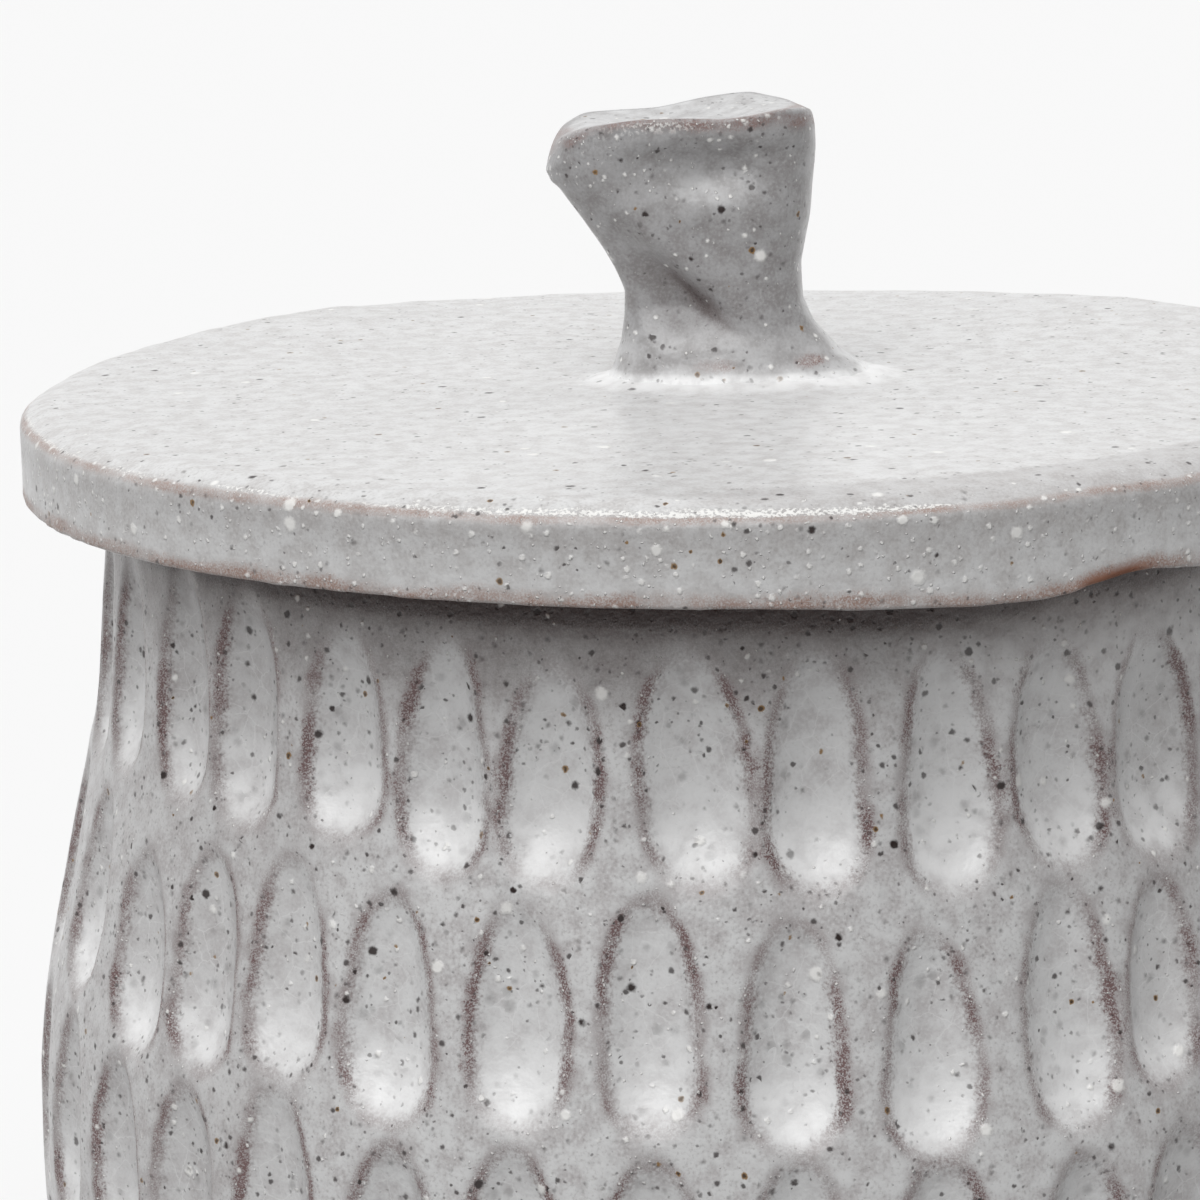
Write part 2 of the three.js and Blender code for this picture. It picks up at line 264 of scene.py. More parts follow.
class Graph:
    """The nodes of a material or of the surround, read in millimetres."""

    def __init__(self, owner: Union[Material, bpy.types.World], space: str = "Object") -> None:
        """Starts an empty set of nodes.

        Args:
            owner: What the nodes are for.
            space: The coordinates that its patterns are read in.
        """
        self.owner = owner
        owner.use_nodes = True
        owner.node_tree.nodes.clear()
        self.place = self.out("TexCoord", space)

    def node(self, kind: str, sockets: Optional[Sockets] = None, **settings: object) -> bpy.types.ShaderNode:
        """Adds a node.

        Args:
            kind: Its type, without the ShaderNode that each starts with.
            sockets: Values or links of its inputs, by name or index.
            settings: Its own settings by name, set first.

        Returns:
            The node.
        """
        made = self.owner.node_tree.nodes.new("ShaderNode" + kind)
        for name, value in settings.items():
            setattr(made, name, value)
        for key, value in (sockets or {}).items():
            if isinstance(value, Field):
                self.owner.node_tree.links.new(value.socket, made.inputs[key])
            else:
                made.inputs[key].default_value = value
        return made

    def out(
        self, kind: str, output: Union[str, int], sockets: Optional[Sockets] = None, **settings: object
    ) -> Field:
        """Adds a node and reads one of its outputs."""
        return Field(self, self.node(kind, sockets, **settings).outputs[output])

    def maths(self, operation: str, *values: Value) -> Field:
        """One Math node."""
        return self.out("Math", 0, dict(enumerate(values)), operation=operation)

    def clamp(self, value: Field) -> Field:
        """The value, kept from 0 to 1."""
        return self.out("Math", 0, {0: value, 1: 0.0}, operation="ADD", use_clamp=True)

    def highest(self, *values: Value) -> Value:
        """The largest of some numbers."""
        return reduce(lambda one, other: self.maths("MAXIMUM", one, other), values)

    def attribute(self, mark: Mark) -> Field:
        """A number that is painted on the mesh."""
        return self.out("Attribute", "Fac", attribute_type="GEOMETRY", attribute_name=mark.value)

    def ramp(self, value: Value, low: Value, high: Value) -> Field:
        """Eases from 0 at low to 1 at high, which may be below low."""
        sockets = {"Value": value, "From Min": low, "From Max": high}
        return self.out("MapRange", "Result", sockets, interpolation_type="SMOOTHSTEP")

    def noise(self, size: float, detail: float, place: Optional[Field] = None, output: str = "Fac") -> Field:
        """Cloudy noise near 0.5 with clouds of a size in mm, or three of them as Color."""
        sockets = {"Vector": place or self.place, "Scale": 1 / (size * MM), "Detail": detail}
        return self.out("TexNoise", output, sockets)

    def shifted(self, *offset: float) -> Field:
        """The piece's own space moved by metres, so that a pattern isn't the same twice."""
        return self.out("Mapping", "Vector", {"Vector": self.place, "Location": offset})

    def specks(self, place: Field, cell: float, radius: float, share: Value, soft: float = 0.35) -> Field:
        """Scattered round spots of mixed sizes.

        Args:
            place: Where to read them.
            cell: Distance between places where a spot may be, in mm.
            radius: Radius of the largest, in mm.
            share: How many of those places have one, 0 to 1.
            soft: Share of the radius that is solid.

        Returns:
            1 on a spot, and 0 off it.
        """
        made = self.node("TexVoronoi", {"Vector": place, "Scale": 1 / (cell * MM)}, feature="F1")
        chance = self.node("SeparateColor", {0: Field(self, made.outputs["Color"])}).outputs
        size = Field(self, chance[0]) * (0.7 * radius / cell) + 0.3 * radius / cell
        spot = self.ramp(Field(self, made.outputs["Distance"]), size, size * soft)
        return spot * (Field(self, chance[1]) < share)

    def coat(self, colour: Value, *coats: tuple[Value, Value]) -> Value:
        """Lays colours over one another.

        Args:
            colour: The lowest colour.
            coats: How much there is of each other colour, and which it is, from the lowest up.

        Returns:
            The colour that shows.
        """
        for share, over in coats:
            sockets = {0: share, 6: colour, 7: over}
            colour = self.out("Mix", 2, sockets, data_type="RGBA", clamp_factor=True)
        return colour

    def close(self, colour: Value, roughness: Value, relief: Field, constants: Sockets) -> Material:
        """Ends the material with a surface shader.

        Args:
            colour: Its colour.
            roughness: Its roughness.
            relief: Height of its fine relief in mm.
            constants: Plain values of the shader's other sockets.

        Returns:
            The material.
        """
        normal = self.out("Bump", "Normal", {"Strength": 1.0, "Distance": MM, "Height": relief})
        sockets = {"Base Color": colour, "Roughness": roughness, "Normal": normal, **constants}
        self.node("OutputMaterial", {"Surface": self.out("BsdfPrincipled", "BSDF", sockets)})
        return self.owner


@dataclass(frozen=True)
class Clay:
    """Unglazed stoneware: matte, reddish brown, with grog in it."""

    light: Colour = srgb(176, 140, 118)
    dark: Colour = srgb(138, 98, 78)
    grog: Colour = srgb(96, 62, 48)
    roughness: float = 0.85

    def colour(self, graph: Graph) -> Value:
        """Its colour in any material that shows some of it."""
        grog = (graph.specks(graph.place, 1.4, 0.4, 0.4) * 0.7, self.grog)
        return graph.coat(self.dark, (graph.ramp(graph.noise(5, 3), 0.3, 0.7), self.light), grog)

    def material(self) -> Material:
        """Builds the material of the floor and the flange.

        Returns:
            The material.
        """
        graph = Graph(bpy.data.materials.new("bare_stoneware"))
        grain = graph.noise(0.5, 3)
        relief = grain * 0.08 + graph.noise(3, 2) * 0.1
        roughness = grain * 0.1 + (self.roughness - 0.05)
        return graph.close(self.colour(graph), roughness, relief, {"Specular IOR Level": 0.3})


@dataclass(frozen=True)
class Glaze:
    """Satin grey-white glaze that breaks brown on edges and carries iron specks and white spots."""

    name: str
    thin: Colour = srgb(196, 193, 193)
    body: Colour = srgb(218, 218, 218)
    thick: Colour = srgb(226, 226, 226)
    # The white of glaze that pools, also used for painted light and highlights.
    pooled_and_lit: Colour = srgb(246, 246, 246)
    stain: Colour = srgb(146, 140, 138)
    broken: Colour = srgb(116, 92, 91)
    # Colour of painted shade; the colour of the dark specks below also serves for the darkest painted shadow.
    shaded: Colour = srgb(104, 92, 90)
    iron_and_shadow: Colour = srgb(40, 28, 26)
    amber: Colour = srgb(140, 102, 38)
    spot: Colour = srgb(252, 251, 248)
    craze: Colour = srgb(240, 240, 240)
    break_at: float = 0.2
    break_width: float = 1.05
    straying: float = 1.0
    iron_share: float = 0.32
    amber_share: float = 0.3
    roughness: float = 0.3
    crazing: float = 0.34
    peel: float = 0.02
    clay: Clay = Clay()

    def material(self) -> Material:
        """Builds the material from the marks on its mesh and its own fine patterns.

        Returns:
            The material.
        """
        graph = Graph(bpy.data.materials.new(self.name))
        edge, worn, pool_and_light, bare, spots_and_glints, shade = (graph.attribute(mark) for mark in Mark)
        grain, stipple = graph.noise(0.34, 2), graph.noise(0.16, 1)
        mottle, cloud = graph.noise(2.2, 4), graph.noise(14, 2)
        wander = ((graph.noise(2.4, 2) - 0.5) * 1.2 + (grain - 0.5) * 1.4) * self.straying
        on_break = graph.ramp(abs(edge + wander - self.break_at), self.break_width, 0.0) * worn
        patch = graph.ramp(graph.noise(5, 2, graph.shifted(0.3, 0.1, 0.2)), 0.3, 0.62)
        fleck = graph.ramp(stipple, 0.34, 0.6)
        broken = graph.clamp(on_break * (patch * 0.6 + 0.4) * (fleck * 0.85 + 0.5))
        inner = graph.ramp(edge, 0.5, 2.2)
        # White of glaze that pools, which also carries the painted light and highlights of its mark.
        pooled_and_lit = graph.clamp(pool_and_light * (graph.ramp(mottle, 0.3, 0.68) * 0.55 + 0.62))
        # Painted glints, where the mark of spots passes 1.1 along an edge.
        glint_crest = graph.ramp(spots_and_glints, 1.1, 1.7) * graph.ramp(grain + (spots_and_glints - 1.5) * 0.12, 0.47, 0.6)

        # Specks are read in a space that noise bends, so that none is quite round. Each kind has the distance
        # between its places, its largest radius, its share of the places, and how much of it is solid.
        sockets = {0: graph.noise(0.5, 2, output="Color"), "Scale": 0.42 * MM}
        bend = graph.out("VectorMath", 0, sockets, operation="SCALE")
        place = graph.out("VectorMath", 0, {0: graph.place, 1: bend}, operation="ADD")
        crowd = graph.ramp(graph.noise(4.5, 2, graph.shifted(0.2, 0.4, 0.1)), 0.36, 0.66)
        share = (crowd * 1.3 + 0.45 + shade * 0.9) * self.iron_share
        white = (
            (1.15, 0.44, spots_and_glints * 0.7, 0.3),
            (3.1, 0.9, spots_and_glints * 0.35 + 0.14, 0.45),
            (0.55, 0.2, on_break * 0.5 + spots_and_glints * 0.2, 0.4),
        )
        black = (
            (0.8, 0.28, on_break * 0.3 + share * 0.95, 0.3),
            (1.3, 0.44, on_break * 0.36 + share * 0.9, 0.4),
            (2.4, 0.62, on_break * 0.26 + share * 0.8, 0.5),
            (1.2, 0.46, share * 1.7, 0.0),
            (1.7, 0.95, share * 1.5, 0.15),
        )
        raised = graph.highest(*(graph.specks(place, *kind) for kind in white))
        fine, coarse, large, faint, smudge = (graph.specks(place, *kind) for kind in black)
        dark = graph.highest(fine * 0.65, coarse * 0.85, large, faint * 0.6, smudge * (inner + 0.5) * 0.2)
        amber = graph.specks(place, 2.6, 0.5, self.amber_share, 0.25)

        colour = graph.coat(
            self.thin,
            (graph.ramp(mottle, 0.34, 0.64), self.body),
            (inner * 0.55 + (cloud - 0.5) * 1.3 + (mottle - 0.5) * 1.3, self.thick),
            (graph.ramp(grain, 0.45, 0.8) * 0.7, self.thick),
            (graph.ramp(grain, 0.5, 0.25) * (1 - pool_and_light) * (0.36 - inner * 0.22), self.stain),
            # Painted shade, its darkest part a painted shadow in the colour of the dark specks.
            (shade * (fleck * 0.3 + 0.85), self.shaded),
            (graph.ramp(shade, 0.6, 1.0) * 0.38, self.iron_and_shadow),
            (pooled_and_lit, self.pooled_and_lit),
            (broken, self.broken),
        )
        if self.crazing:
            sockets = {"Vector": place, "Scale": 1 / (3.1 * MM)}
            cracks = graph.out("TexVoronoi", "Distance", sockets, feature="DISTANCE_TO_EDGE")
            colour = graph.coat(colour, (graph.ramp(cracks, 0.024, 0.006) * inner * self.crazing, self.craze))
        colour = graph.coat(
            colour,
            # White spots, and the painted glints in the same white.
            (graph.highest(raised * 0.8, glint_crest * 0.85), self.spot),
            (dark * (1 - pool_and_light * 0.45), self.iron_and_shadow),
            (graph.ramp(amber, 0.05, 0.6) * (0.9 - pool_and_light * 0.6), self.amber),
            (graph.ramp(amber, 0.6, 0.95) * (0.85 - pool_and_light * 0.6), self.iron_and_shadow),
            (bare, self.clay.colour(graph)),
        )
        rough = (grain - 0.5) * 0.12 + self.roughness + broken * 0.1
        rough = graph.highest(rough, bare * self.clay.roughness)
        relief = graph.noise(1.1, 2) * self.peel * 4 + grain * self.peel
        relief = relief + raised * 0.09 + glint_crest * 0.05 - dark * 0.04
        return graph.close(colour, rough, relief, {"IOR": 1.5})


@dataclass(frozen=True)
class OuterCurve:
    """The outside of the jar's body: two curves that meet upright at the belly, as in the part's source."""

    height: float = 136.0
    mouth: float = 61.0
    mouth_flare: float = 2.5
    mouth_pull: float = 26.0
    belly: float = 70.0
    belly_height: float = 68.0
    belly_pull: float = 27.0
    foot: float = 58.0
    foot_flare: float = 7.0
    foot_pull: float = 16.0

    @cached_property
    def samples(self) -> Array:
        """Samples both curves.

        Returns:
            Points as (radius, height), from the foot up.
        """
        belly = (self.belly, self.belly_height)
        low = [(self.foot, 0.0), (self.foot + self.foot_flare, self.foot_pull)]
        low += [(self.belly, self.belly_height - self.belly_pull), belly]
        high = [belly, (self.belly, self.belly_height + self.belly_pull)]
        high += [(self.mouth + self.mouth_flare, self.height - self.mouth_pull), (self.mouth, self.height)]
        s = np.linspace(0, 1, 200)[:, None]
        rest = 1 - s
        samples = []
        for points in (low, high):
            a, b, c, d = (np.array(point) for point in points)
            samples.append(rest**3 * a + 3 * rest**2 * s * b + 3 * rest * s**2 * c + s**3 * d)
        return np.concatenate(samples)

    def radius(self, height: Number) -> Number:
        """Outside radius at a height."""
        return np.interp(height, self.samples[:, 1], self.samples[:, 0])

    def point(self, height: float) -> Point:
        """Profile point of the outside at a height."""
        return (float(self.radius(height)), float(height))


class Piece:
    """A piece of the jar: a blank on the wheel that is worked by hand, painted and dressed."""

    name: ClassVar[str]
    body: ClassVar[Body]
    node: ClassVar[str]
    slot: ClassVar[Slot]
    rounding: ClassVar[int] = 0
    steps: int

    def profile(self) -> list[Point]:
        """The section of a thrown piece, closed or with both ends on the axis."""
        raise NotImplementedError

    def blank(self) -> Object:
        """Makes the blank."""
        return thrown(self.name, self.profile(), self.steps)

    def worked(self, blank: Array) -> Worked:
        """Works the blank.

        Args:
            blank: Its points.

        Returns:
            The same points in place on the jar, in mm, and the numbers of each mark painted on them.
        """
        raise NotImplementedError

    def build(self, finish: Material) -> None:
        """Makes the piece and puts it in its node's place.

        Args:
            finish: Its material.
        """
        piece = self.blank()
        places = np.empty(len(piece.data.vertices) * 3)
        piece.data.vertices.foreach_get("co", places)
        points, marks = self.worked(places.reshape(-1, 3) / MM)
        piece.data.vertices.foreach_set("co", (points * MM).ravel())
        piece.data.update()
        deselect()
        piece.select_set(True)
        bpy.context.view_layer.objects.active = piece
        if self.rounding:
            rounding = piece.modifiers.new("rounding", "SMOOTH")
            rounding.factor, rounding.iterations = 0.5, self.rounding
            bpy.ops.object.modifier_apply(modifier=rounding.name)
        for mark, values in marks.items():
            layer = piece.data.attributes.new(mark.value, "FLOAT", "POINT")
            levels = np.empty(len(points), dtype=np.float32)
            levels[:] = values
            layer.data.foreach_set("value", levels)
        bpy.ops.object.shade_smooth()
        piece.data.materials.clear()
        piece.data.materials.append(finish)
        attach(piece, self.body.value)
        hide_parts(self.node)
        log.info("%s: %d faces", piece.name, len(piece.data.polygons))


@dataclass(frozen=True)
class Gouge:
    """One stroke of the loop tool: where it is and how large, its azimuth in degrees."""

    azimuth: float
    height: float
    length: float
    width: float
    lean: float
    seed: int


@dataclass(frozen=True)
class Wall(Piece):
    """The barrel-shaped wall, open at the top, with five rows of gouges.

    The tables are read by height, by depth below the rim or by azimuth in degrees. A row of seen is the
    photographed gouges of one row: azimuth, top and lower end above the lid's top, width, and how far the
    top lies to the left of the lower end.
    """

    name = "wall"
    body = Body.JAR
    node = "jar_wall"
    slot = Slot.WALL
    curve: OuterCurve = OuterCurve()
    thickness: float = 7.0
    rim_round: float = 1.8
    bottom: float = 8.0
    fillet: float = 8.0
    steps: int = 544
    row_step: float = 0.97
    per_row: int = 34
    rows: int = 5
    first_drop: float = 16.4
    row_pitch: float = 22.8
    turns: tuple[float, ...] = (-1.6, -5.2, -4.9, -2.2, -5.6)
    tilt: float = 2.2
    length: float = 21.5
    width: float = 9.4
    habits: Stroke = (0.8, 0.9, 1.1, 0.5, 2.0)  # how far azimuth, height, length, width and lean wander
    depth: float = 2.1
    taper: float = 0.16
    top_power: float = 2.3
    foot_power: float = 3.4
    scoop_power: float = 2.3
    rim_blend: float = 0.55
    crossing_blend: float = 0.35
    reach: float = 11.0  # no stroke changes anything farther out than this
    reach_up: float = 17.0
    white_spots: float = 0.17
    side_shade: float = 0.16
    bow: Table = (
        (8, 0), (40, 0.7), (58, 1.1), (76, 1.2), (84, 0.9), (90, 0.5), (96, 0.1), (102, -0.1), (108, -0.4),
        (114, -0.5), (120, -0.1), (126, 0.3), (134, 0.5),
    )
    # Painted shade under the lid: a dark band just below it, moved down by the lid's sag round the jar, then a
    # wider, fainter shade that changes round the jar.
    contact_shade: Table = ((0, 1.0), (2.6, 1.0), (3.1, 0.9), (3.8, 0.62), (4.5, 0.4), (5.2, 0))
    contact_sag: Table = (
        (-60, -0.4), (-25, -0.3), (-10, 0), (6, 0.2), (10, 0.6), (16, 0.85), (25.6, 1.0), (29, 0.4),
        (33, -0.2), (40, 0.1), (65, -0.4),
    )
    gloom: Table = ((0, 0.4), (8.6, 0.4), (10.5, 0.26), (14, 0))
    gloom_side: Table = ((0, 1), (12, 0.7), (20, 0.3), (45, 0.2), (75, 0.8))
    lid_top: float = 145.3
    seen_first: int = -5
    seen_margin: float = 0.6
    seen: tuple[tuple[Stroke, ...], ...] = (
        (
            (-53.7, -11.9, -34.1, 8.4, 1.1), (-44.4, -12.7, -34.7, 8.8, 0.9),
            (-32.9, -14.8, -34.0, 8.9, -0.2),
            (-22.9, -14.4, -36.3, 8.3, 0.0), (-13.5, -16.1, -36.2, 8.6, -0.5), (-1.6, -14.9, -36.2, 9.8, 0.8),
            (8.5, -15.4, -37.2, 9.0, -0.1), (19.7, -15.9, -38.4, 8.8, 0.2), (30.1, -16.3, -37.4, 9.1, 0.6),
            (40.7, -17.0, -38.2, 10.1, -0.2),
        ),
        (
            (-56.0, -39.6, -58.8, 9.3, 1.4), (-46.3, -37.3, -57.9, 9.1, 1.7), (-36.8, -36.1, -56.5, 8.7, 1.1),
            (-26.6, -38.0, -58.8, 9.1, 1.0), (-15.6, -37.8, -58.1, 9.0, 1.1), (-5.2, -37.1, -57.9, 8.7, 0.2),
            (5.8, -39.4, -59.7, 8.9, -0.1), (16.6, -41.3, -61.3, 8.6, -0.5), (28.6, -38.1, -60.8, 9.1, -0.8),
            (37.9, -39.5, -58.4, 8.1, -1.7),
        ),
        (
            (-56.6, -59.4, -80.6, 9.0, 0.8), (-46.5, -59.4, -80.3, 9.1, 0.6), (-36.3, -57.0, -78.6, 9.0, 0.5),
            (-25.4, -60.6, -81.0, 9.2, 0.3), (-15.8, -59.5, -80.4, 8.9, 0.2), (-4.9, -60.2, -81.3, 9.1, 0.0),
            (5.6, -60.4, -81.2, 8.8, -0.2), (16.6, -61.2, -82.0, 9.2, -0.3), (28.2, -62.7, -83.3, 9.0, -0.5),
        ),
    )

    def gouge(self, row: int, column: int) -> Gouge:
        """Places one gouge: as measured if the photograph shows it, or else by the maker's habits.

        Args:
            row: Its row, from the top.
            column: Its place in the row.

        Returns:
            The gouge.
        """
        stroke = row * self.per_row + column
        index = (column - self.seen_first) % self.per_row
        if row < len(self.seen) and index < len(self.seen[row]):
            azimuth, top, low, width, lean = self.seen[row][index]
            length, middle = top - low, self.lid_top + (top + low) / 2
            size = (length + self.seen_margin, width + self.seen_margin)
            return Gouge(azimuth, middle, *size, lean / length, stroke)
        azimuth = column * (360 / self.per_row) + self.turns[row]
        middle = self.curve.height - self.first_drop - row * self.row_pitch
        middle -= self.tilt * math.sin(math.radians(azimuth))
        drift = [size * hand(stroke, trait) for trait, size in enumerate(self.habits, 1)]
        size = (self.length + drift[2], self.width + drift[3])
        return Gouge(azimuth + drift[0], middle + drift[1], *size, math.tan(math.radians(drift[4])), stroke)

    def profile(self) -> list[Point]:
        """Draws the wall's section.

        Returns:
            Its points, from the foot up the outside and down the inside, back to the first.
        """
        top, low = self.curve.height - self.rim_round, self.bottom + self.fillet
        steps = round((top - self.bottom) / self.row_step)
        points = [self.curve.point(height) for height in np.linspace(self.bottom, top, steps + 1)]
        points += corner((points[-1][0] - self.rim_round, top), self.rim_round, 0, 90, 4)[1:]
        mouth = self.curve.mouth - self.thickness
        points += corner((mouth + self.rim_round, top), self.rim_round, 90, 180, 4)
        for height in np.linspace(top, low, 14)[1:]:
            points.append((float(self.curve.radius(height)) - self.thickness, float(height)))
        points += corner((points[-1][0] - self.fillet, low), self.fillet, 0, -90, 5)[1:]
        return points + [points[0]]

    def cut(self, gouge: Gouge, along: Array, up: Array, near_rim: Array) -> tuple[Array, ...]:
        """Works out one gouge.

        Args:
            gouge: The gouge.
            along: How far points lie to the right of its middle along the wall.
            up: How far they lie above it.
            near_rim: How near they are to the rim of the mouth, 0 to 1.

        Returns:
            The points' depth as a negative rise, their distance inside the gouge's rim, how much the glaze
            breaks there, and how much glaze pools there with painted light and highlight.
        """
        half, phase = gouge.length / 2, gouge.seed * 2.4
        share = up / half
        across = along + up * gouge.lean + 0.16 * np.sin(2.6 * share + phase)
        wide = gouge.width / 2 * (1 - self.taper * np.clip(share, -1.2, 1.2))
        wide = wide * (1 + 0.03 * np.sin(3.7 * share + 2 * phase))
        power = np.where(share > 0, self.top_power, self.foot_power)
        sides = (across / wide) ** 2
        reach = np.sqrt(sides + np.abs(share) ** power)
        slope_up = power * np.abs(share) ** (power - 1) / half
        slope = np.hypot(slope_up, 2 * np.abs(across) / wide**2) / np.maximum(2 * reach, 1e-3)
        inside = (1 - reach) / np.maximum(slope, 0.16)
        deep = self.depth * (1 - 0.14 * share) * (1 + 0.06 * math.sin(phase))
        rise = deep * (np.abs(reach) ** self.scoop_power - 1)
        side = ease(np.sqrt(sides) / np.maximum(reach, 1e-3), 0.35, 0.85)
        ends_worn = np.where(share > 0, 0.5 - 0.35 * near_rim, 0.28)
        worn = ends_worn + (1.0 - ends_worn) * side * ease(share, -1.1, -0.6)
        worn *= 0.8 + 0.2 * np.sin(3.1 * share + 1.3 * phase)
        # Glaze that pools low in the gouge, which also stands for a painted highlight there, and painted light
        # high in it.
        low = ease(share, 0.12 * math.sin(phase * 1.7), -0.7) * ease(reach, 1.02, 0.7)
        high = 0.22 * ease(share, 0.2, 0.9) * ease(reach, 1.0, 0.6)
        return rise, inside, worn, low * (0.8 + 0.2 * math.sin(phase * 0.6)) + high

    def carve(self, azimuth: Array, height: Array, radius: Array) -> tuple[Array, ...]:
        """Works out the cut surface from every gouge.

        Args:
            azimuth: Azimuth of each point of the outside, in radians.
            height: Its height.
            radius: Its radius.

        Returns:
            How far each point moves outwards (it is negative in a gouge), its distance inside the nearest
            rim (negative outside), how much the glaze breaks on that rim, and how much glaze pools there with
            painted light and highlight, 0 to 1.
        """
        rise, edge = np.full(len(height), FAR), np.full(len(height), UNCUT)
        worn, pool_and_light = np.zeros(len(height)), np.zeros(len(height))
        near_rim = ease(height, self.curve.height - 14, self.curve.height - 6)
        for row, column in np.ndindex(self.rows, self.per_row):
            gouge = self.gouge(row, column)
            along, up = turn_from(azimuth, math.radians(gouge.azimuth)) * radius, height - gouge.height
            near = (np.abs(along) < self.reach) & (np.abs(up) < self.reach_up)
            deep, inside, amount, pooled_and_lit = self.cut(gouge, along[near], up[near], near_rim[near])
            rise[near] = soft_min(rise[near], deep, self.crossing_blend)
            worn[near] = np.where(inside > edge[near], amount, worn[near])
            edge[near] = np.maximum(edge[near], inside)
            pool_and_light[near] = np.maximum(pool_and_light[near], pooled_and_lit)
        return soft_min(rise, np.zeros_like(rise), self.rim_blend), edge, worn, pool_and_light

    def lighting(self, azimuth: Array, height: Array, edge: Array) -> tuple[Array, Array]:
        """Works out the painted light and painted shade on the outside: paler under the lid to the right,
        darker under the lid and on the turns of the wall.

        Args:
            azimuth: Azimuth of each point, in radians.
            height: Its height.
            edge: Its distance inside the nearest gouge.

        Returns:
            How much painted light each point gets and how much painted shade, 0 to 1.
        """
        depth, turn = self.curve.height - height, np.degrees(azimuth)
        close = read(self.contact_shade, depth - read(self.contact_sag, turn))
        shade = np.maximum(close, read(self.gloom, depth) * read(self.gloom_side, turn))
        side = self.side_shade * ease(np.abs(turn), 26, 44) * ease(np.abs(turn), 120, 80)
        pale = 0.5 * ease(turn, 13, 25) * ease(turn, 75, 50) * bump(depth, 8.5, 4)
        return pale, side + (shade - side) * (1 - ease(edge, -0.6, 0.9)) * (shade > side)

    def worked(self, blank: Array) -> Worked:
        """Cuts the gouges, and swells the wall as the hand left it.

        Args:
            blank: Points of the thrown wall.

        Returns:
            The points of the wall and its marks.
        """
        radius, azimuth, height = polar(blank)
        skin = self.curve.radius(height)
        outside = radius > skin - 0.01
        carved = np.zeros((4, len(blank)))
        carved[1] = UNCUT
        carved[:, outside] = self.carve(azimuth[outside], height[outside], radius[outside])
        move, edge, worn, pool_and_light = carved
        swell = waves(blank, 46, 3) * 0.18 + waves(blank, 17, 4) * 0.05
        swell += read(self.bow, height)
        calm = ease(height, self.bottom, self.bottom + 6) * ease(radius - skin, -self.thickness, -2)
        points = blank.copy()
        points[:, :2] *= ((radius + move + swell * calm) / radius)[:, None]
        rim = ease(height, self.curve.height - 1.3, self.curve.height - 0.4)
        foot = ease(height, self.bottom + 2.6, self.bottom + 1.4)
        pale, shade = self.lighting(azimuth, height, edge)
        return points, {
            Mark.EDGE: edge,
            Mark.BREAK: worn,
            Mark.BARE: np.maximum(rim, foot * outside),
            Mark.DOTS: self.white_spots,
            # Glaze that pools in the gouges with their painted light and highlight, and painted light under the
            # lid to the right.
            Mark.POOL_AND_LIGHT: np.maximum(pool_and_light, pale * outside),
            Mark.SHADE: shade * outside,
        }


@dataclass(frozen=True)
class Floor(Piece):
    """The slab that closes the foot, trimmed and left unglazed."""

    name = "floor"
    body = Body.JAR
    node = "jar_floor"
    slot = Slot.CLAY
    curve: OuterCurve = OuterCurve()
    thickness: float = 8.0
    bevel: float = 2.5
    steps: int = 256

    def profile(self) -> list[Point]:
        """Draws the slab's section.

        Returns:
            Its points, from the middle of the underside to the middle of the top.
        """
        flat = (self.curve.foot - self.bevel, 0.0)
        points = [(0.0, 0.0)] + line((0.0, 0.0), flat, 60) + line(flat, self.curve.point(self.bevel), 4)
        points += [self.curve.point(height) for height in np.linspace(self.bevel, self.thickness, 7)[1:]]
        return points + line(points[-1], (0.0, self.thickness), 12)

    def worked(self, blank: Array) -> Worked:
        """Trims the underside, which leaves faint rings.

        Args:
            blank: Points of the thrown slab.

        Returns:
            The points of the floor, which has no marks.
        """
        radius, azimuth, height = polar(blank)
        under = (height < 0.01) & (radius < self.curve.foot - self.bevel - 3)
        points = blank.copy()
        points[:, 2] += under * (0.12 + 0.1 * np.sin(radius * 1.9 + 0.4 * azimuth))
        return points, {}


